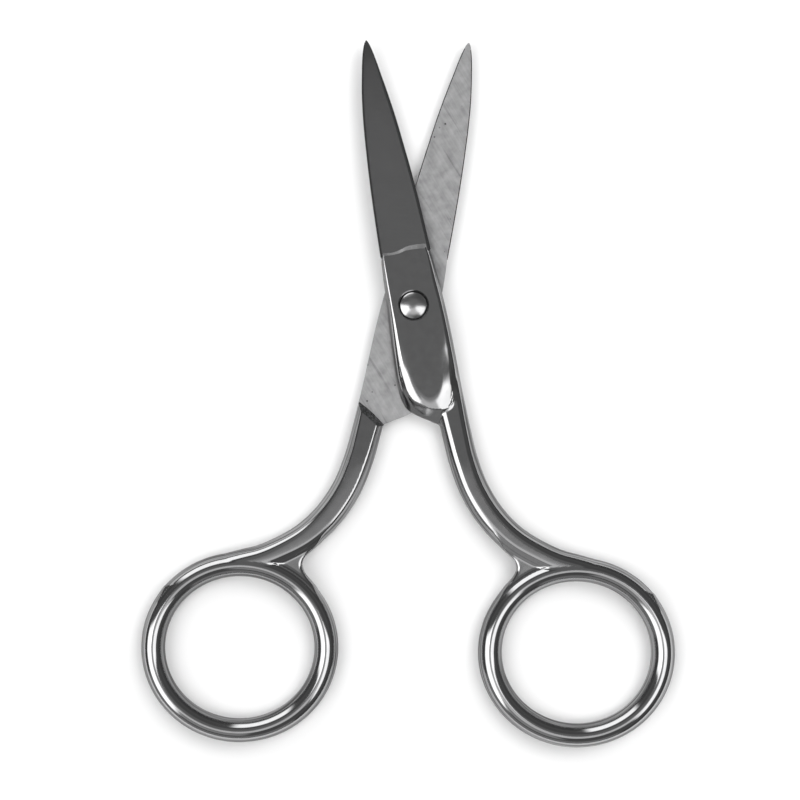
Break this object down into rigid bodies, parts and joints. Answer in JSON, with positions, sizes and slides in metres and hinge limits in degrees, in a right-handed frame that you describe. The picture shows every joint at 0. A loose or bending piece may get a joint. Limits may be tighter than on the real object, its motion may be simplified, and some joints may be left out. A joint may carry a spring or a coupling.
{
  "type": "eyebrow scissors",
  "caption": "Small polished steel eyebrow scissors with slim pointed blades, oval finger bows and a domed pivot rivet, lying flat and a little open.",
  "frame": {"origin": "on the pivot axis, on the rivet tail's flat end, which is level with the face that the scissors lie on", "axes": "+Y along the middle line between the open halves, towards the points; +Z along the pivot axis, towards the rivet's domed head; +X to the right seen from the domed side"},
  "size_m": [0.0748, 0.0984, 0.004],
  "materials": {
    "plated_steel": "polished nickel plate",
    "rivet_steel": "polished nickel plate"
  },
  "bodies": {
    "rear": {"rear_half": "plated_steel", "pivot_rivet": "rivet_steel"},
    "front": {"front_half": "plated_steel"}
  },
  "joints": [
    {"name": "pivot", "type": "hinge", "parent": "rear", "child": "front", "pos_m": [0, 0, 0], "axis": [0, 0, 1], "range_deg": [-22, 125]}
  ]
}
